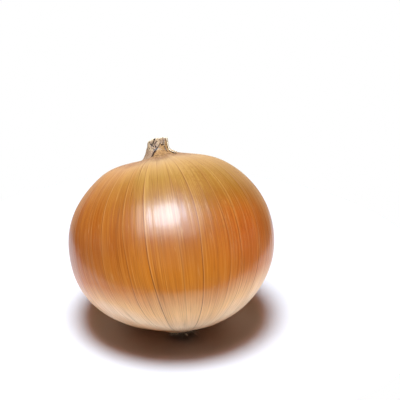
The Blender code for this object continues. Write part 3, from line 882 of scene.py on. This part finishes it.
def onion_tunic():
    """Dry outer onion skin: brittle papery layers with a soft gloss, streaked by fibres from root to neck.

    Real fibres are about 0.1 mm wide, too fine to show, so they are drawn 0.28 mm to 1.1 mm wide.
    """
    material, tree, shader = new_material("onion_tunic")
    grain = node(tree, "Attribute", output="Vector", attribute_name="grain")
    level = node(tree, "SeparateXYZ", [grain], "Z")
    broad = stretched_noise(tree, grain, BLUSH_CELL, detail=2.0)
    bands = stretched_noise(tree, grain, BAND_CELL, detail=2.0)
    near_ends = node(tree, "Math", [level], operation="ABSOLUTE")
    near_ends = node(tree, "MapRange", [near_ends, 0.45, 0.75])
    finer = stretched_noise(tree, grain, FIBRE_CELL, detail=2.0, roughness=0.6)
    coarser = stretched_noise(tree, grain, END_FIBRE_CELL, roughness=0.6)
    fibres = node(tree, "Mix", {0: near_ends, 2: finer, 3: coarser})
    fine = stretched_noise(tree, grain, FINE_FIBRE_CELL, detail=2.0)

    # A redder patch on the right, others here and there by chance of growth, and a deeper one on the left
    colour, along = skin_tones_and_light(tree, grain, level, broad)
    by_chance = node(tree, "MapRange", [broad, 0.62, 0.80])
    redder = patch(tree, grain, 46, -0.02, 0.50, 0.10, 1.0)
    redder = node(tree, "Math", [redder, by_chance], operation="MAXIMUM")
    above_pale = node(tree, "MapRange", [along, 0.26, 0.36])
    below_straw = node(tree, "MapRange", [along, 0.64, 0.54, 0, 0.6])
    belt = node(tree, "Math", [above_pale, below_straw], operation="MULTIPLY")
    redder = node(tree, "Math", [redder, belt], operation="MULTIPLY")
    deeper = patch(tree, grain, -60, 0.2, 0.85, 0.15, 0.6)
    colour = tinted(tree, colour, (redder, "9E4414"), (deeper, "9A4708"))

    # Broad bands and fibres, darker and paler than the skin between them
    dark_bands = node(tree, "MapRange", [bands, 0.5, 0.75, 0, 0.20])
    pale_bands = node(tree, "MapRange", [bands, 0.5, 0.25, 0, 0.14])
    fainter = node(tree, "MapRange", [near_ends, 0, 1, 1.0, 0.3])
    dark_fibres = node(tree, "MapRange", [fibres, 0.45, 0.75, 0, 0.34])
    dark_fibres = node(tree, "Math", [dark_fibres, fainter], operation="MULTIPLY")
    pale_fibres = node(tree, "MapRange", [fibres, 0.50, 0.25, 0, 0.18])
    pale_fibres = node(tree, "Math", [pale_fibres, fainter], operation="MULTIPLY")
    fine_fibres = node(tree, "MapRange", [fine, 0.5, 0.75, 0, 0.35])
    colour = tinted(tree, colour, (dark_bands, "84430F"), (pale_bands, "B9893F"))
    colour = tinted(tree, colour, (dark_fibres, "6E3408"), (pale_fibres, "D0A868"), (fine_fibres, "6E3810"))

    # Fine lines, the dark ones in places and more of them higher up, and dried wrinkles on the right shoulder
    places = stretched_noise(tree, grain, LINE_PATCH_CELL)
    places = node(tree, "MapRange", [places, 0.35, 0.65])
    higher = node(tree, "MapRange", [level, 0.1, 0.4, 0.35, 0.9])
    places = node(tree, "Math", [places, higher], operation="MULTIPLY")
    dark_lines = thin_lines(tree, grain, DARK_LINE_CELL, 0.018, 1.0)
    dark_lines = node(tree, "Math", [dark_lines, places], operation="MULTIPLY")
    pale_lines = thin_lines(tree, grain, PALE_LINE_CELL, 0.014, 0.12)
    wrinkles = stretched_noise(tree, grain, WRINKLE_CELL, detail=4.0)
    wrinkles = node(tree, "MapRange", [wrinkles, 0.50, 0.62])
    wrinkled = patch(tree, grain, 30, 0.34, 0.46, 0.10, 0.55)
    wrinkles = node(tree, "Math", [wrinkles, wrinkled], operation="MULTIPLY")
    colour = tinted(tree, colour, (dark_lines, "5C2A08"), (pale_lines, "D8B684"), (wrinkles, "7A4A18"))

    # The veins, fainter towards both ends: a broken dark line with a painted highlight on its right, as on a
    # ridge's lit side
    to_neck = node(tree, "MapRange", [level, 0.80, 0.45, 0.15, 1.0])
    to_root = node(tree, "MapRange", [level, -0.75, -0.35, 0.6, 1.0])
    strength = node(tree, "Attribute", output="Fac", attribute_name="vein_strength")
    for share in (to_neck, to_root):
        strength = node(tree, "Math", [strength, share], operation="MULTIPLY")
    vein_highlight = beside_vein(tree, 0.40, 0.30, strength)
    vein_highlight = node(tree, "Math", [vein_highlight, 0.20], operation="MULTIPLY")
    broken = stretched_noise(tree, grain, VEIN_BREAK_CELL)
    broken = node(tree, "MapRange", [broken, 0.25, 0.6, 0.5, 1.0])
    dark_veins = beside_vein(tree, 0.0, 0.25, strength)
    dark_veins = node(tree, "Math", [dark_veins, broken], operation="MULTIPLY")
    colour = tinted(tree, colour, (vein_highlight, "D8AE78"), (dark_veins, "5A2608"))

    # Up the neck the skin is flecked brown, and left of its free edge the layer beneath shows, greyer: its
    # own duller colour and painted shade under the outer layer. Painted shade also darkens folds, crumples
    # and the free edge's side
    under = node(tree, "Attribute", output="Fac", attribute_name="under")
    streaky = node(tree, "MapRange", [fibres, 0.4, 0.6])
    beneath_with_shade = tinted(tree, linear("927C68"), (streaky, "7A6252"))
    colour = node(tree, "Mix", {0: under, 6: colour, 7: beneath_with_shade}, output=2, data_type="RGBA")
    spot = node(tree, "TexCoord", output="Object")
    flecks = node(tree, "TexNoise", {"Vector": spot, "Scale": 1 / (FLECK_SIZE * MM), "Detail": 2.0})
    flecks = node(tree, "MapRange", [flecks, 0.54, 0.68, 0, 0.85])
    on_neck = node(tree, "MapRange", [level, 0.86, 0.97])
    flecks = node(tree, "Math", [flecks, on_neck], operation="MULTIPLY")
    crease = node(tree, "Attribute", output="Fac", attribute_name="crease")
    colour = tinted(tree, colour, (flecks, "4A2C12"), (crease, "241109"))

    # Fibres, bands and the veins' crests raise the surface a little. The waxy coat gives out up the neck
    relief = beside_vein(tree, 0.25, 0.45, strength)
    relief = node(tree, "Math", [relief, 0.4], operation="MULTIPLY")
    for pattern, height in ((fibres, 0.6), (fine, 0.25), (bands, 0.5)):
        raised = node(tree, "Math", [pattern, height], operation="MULTIPLY")
        relief = node(tree, "Math", [relief, raised], operation="ADD")
    sockets = {
        "Base Color": colour,
        "Roughness": node(tree, "MapRange", [fibres, 0.25, 0.75, 0.38, 0.52]),
        "Normal": node(tree, "Bump", {"Height": relief, "Strength": 0.5, "Distance": 0.10 * MM}),
        "Specular IOR Level": 0.35,
        "Coat Weight": node(tree, "MapRange", [level, 0.80, 0.93, 0.55, 0.0]),
        "Coat Roughness": 0.22,
        "Coat IOR": 1.5,
    }
    connect(tree, shader, sockets)
    return material


def dry_leaf_sheath():
    """Dried leaf sheath: matte, straw and grey-pink, pale where torn (partly a painted highlight), with
    painted shade in its folds.
    """
    material, tree, shader = new_material("dry_leaf_sheath")
    grain = node(tree, "Attribute", output="Vector", attribute_name="grain")
    crease = node(tree, "Attribute", output="Fac", attribute_name="crease")
    rim = node(tree, "Attribute", output="Fac", attribute_name="rim")
    fibres = stretched_noise(tree, grain, SHEATH_FIBRE_CELL, SHEATH_SPAN)
    blotch = stretched_noise(tree, grain, SHEATH_BLOTCH_CELL, SHEATH_SPAN, detail=2.0)
    straw = node(tree, "MapRange", [blotch, 0.35, 0.65])
    brown = node(tree, "MapRange", [fibres, 0.5, 0.8, 0, 0.6])
    colour = tinted(tree, linear("8C7463"), (straw, "9E876A"), (brown, "674C3C"))
    # Torn rims are pale, on the peeled strip partly a painted highlight. Painted shade darkens folds and
    # crumples.
    colour = tinted(tree, colour, (rim, "D8CDB8"), (crease, "1E0E07"))
    bump = node(tree, "Bump", {"Height": fibres, "Strength": 0.5, "Distance": 0.15 * MM})
    connect(tree, shader, {"Base Color": colour, "Normal": bump, "Roughness": 0.7})
    return material


def dried_root():
    """Dried root and corky root plate: matte brown fibres."""
    material, tree, shader = new_material("dried_root")
    spot = node(tree, "TexCoord", output="Object")
    mottle = node(tree, "TexNoise", {"Vector": spot, "Scale": 1 / (CORK_MOTTLE_SIZE * MM), "Detail": 3.0})
    paler = node(tree, "MapRange", [mottle, 0.35, 0.65])
    bump = node(tree, "Bump", {"Height": mottle, "Strength": 0.6, "Distance": 0.2 * MM})
    colour = tinted(tree, linear("5C4534"), (paler, "A8947C"))
    connect(tree, shader, {"Base Color": colour, "Normal": bump, "Roughness": 0.85})
    return material


def studio_floor():
    """Matte acrylic table of a warm pale grey, which the shadow on it keeps, lit until it looks white."""
    material, tree, shader = new_material("white_table")
    spot = node(tree, "TexCoord", output="Object")
    tone = node(tree, "TexNoise", {"Vector": spot, "Scale": 1 / (TABLE_MOTTLE_SIZE * MM)})
    colour = tinted(tree, linear("B4A39E"), (tone, "B7A6A1"))
    connect(tree, shader, {"Base Color": colour, "Roughness": 0.7, "Specular IOR Level": 0.1})
    return material


# The studio


def make_floor(material):
    """The table, which ends where its white meets the white around it."""
    sheet = bmesh.new()
    bmesh.ops.create_circle(sheet, cap_ends=True, segments=128, radius=TABLE_RADIUS)
    mesh = bpy.data.meshes.new("table")
    sheet.to_mesh(mesh)
    sheet.free()
    mesh.transform(Matrix.Translation((0, TABLE_RADIUS - TABLE_FRONT, 0)))
    mesh.materials.append(material)
    floor = bpy.data.objects.new("table", mesh)
    bpy.data.collections["studio"].objects.link(floor)


def make_camera(middle):
    """The camera at the photograph's angle, turned so that the bulb's middle falls where it does there."""
    pixels = LENS / SENSOR * PHOTO_SIDE
    yaw = math.atan((PHOTO_SIDE / 2 - BULB_AT[0]) / pixels)
    pitch = math.atan((BULB_AT[1] - PHOTO_SIDE / 2) / pixels)
    data = bpy.data.cameras.new("camera")
    data.lens, data.sensor_width, data.clip_start = LENS, SENSOR, 0.01
    camera = bpy.data.objects.new("camera", data)
    bpy.context.scene.collection.objects.link(camera)
    back = Vector((0, -math.cos(CAMERA_HEIGHT_ANGLE), math.sin(CAMERA_HEIGHT_ANGLE)))
    camera.location = middle + CAMERA_DISTANCE * back
    camera.rotation_euler = (math.pi / 2 - CAMERA_HEIGHT_ANGLE + pitch, 0, -yaw)
    bpy.context.scene.camera = camera


def make_lights(target):
    """Soft lights aimed at the onion, each for the table or the onion alone. The front bulb is gloss only."""
    for lights, lit in ((TABLE_LIGHTS, "studio"), (ONION_LIGHTS, "onion")):
        for name, (shape, direction, distance, size, power, colour) in lights.items():
            data = bpy.data.lights.new(name, "AREA")
            data.shape, data.energy, data.color = shape, power, colour
            data.size, data.size_y = size
            light = bpy.data.objects.new(name, data)
            bpy.context.scene.collection.objects.link(light)
            light.location = target + distance * Vector(direction).normalized()
            light.rotation_euler = Vector(direction).to_track_quat("Z", "Y").to_euler()
            light.light_linking.receiver_collection = bpy.data.collections[lit]
            light.visible_glossy = name in SEEN_IN_GLOSS
            light.visible_diffuse = name != "front_bulb"


def make_world():
    """A dim room, warm white straight behind the onion for its rims to reflect, and white for the camera."""
    world = bpy.data.worlds.new("studio")
    bpy.context.scene.world = world
    world.use_nodes = True
    tree = world.node_tree
    tree.nodes.clear()
    direction = node(tree, "TexCoord", output="Generated")
    backwards = node(tree, "SeparateXYZ", [direction], "Y")
    backwards = node(tree, "MapRange", [backwards, -1, 1])
    stops = ((0.0, (0.012, 0.012, 0.012, 1)), (0.84, (0.03, 0.027, 0.024, 1)), (0.92, (0.95, 0.68, 0.47, 1)))
    room = node(tree, "ValToRGB", {"Fac": backwards}, stops=stops)
    lit = node(tree, "Background", {"Color": room})
    seen = node(tree, "Background", {"Color": (1, 1, 1, 1)})
    to_camera = node(tree, "LightPath", output="Is Camera Ray")
    both = node(tree, "MixShader", [to_camera, lit, seen])
    connect(tree, tree.nodes.new("ShaderNodeOutputWorld"), {"Surface": both})


def make_onion():
    """Makes and sets down every piece of the onion, and gives the place of the bulb's middle."""
    tunic = onion_tunic()
    bulb = make_bulb_mesh()
    placing = resting_place(points_of(bulb))
    finish_piece(bulb, ["bulb"], tunic, placing)
    sheath = dry_leaf_sheath()
    root = dried_root()
    finish_piece(root_plate_mesh(), ["root_plate"], root, placing)
    routes = [hair_route(number, placing) for number in range(HAIR_COUNT)]
    finish_piece(hairs_mesh("root_hairs", routes), ["root_plate"], root, Matrix.Identity(4))
    thicken(finish_piece(frayed_skin(), ["root_plate"], sheath, placing), FRAY_WALL)
    finish_piece(outer_sheath_mesh(), ["neck"], sheath, placing)
    for number in range(INNER_LEAVES):
        thicken(finish_piece(inner_leaf(number), ["neck"], sheath, placing), LEAF_WALL)
    thicken(finish_piece(peeled_strip(), ["neck"], sheath, placing), STRIP_WALL)
    return placing @ Vector((0, 0, 0))


def main():
    for name in ("onion", "studio"):
        bpy.context.scene.collection.children.link(bpy.data.collections.new(name))
    middle = make_onion()
    make_floor(studio_floor())
    make_camera(middle)
    make_lights(middle)
    make_world()
    bpy.context.scene.view_settings.view_transform = "Standard"


main()
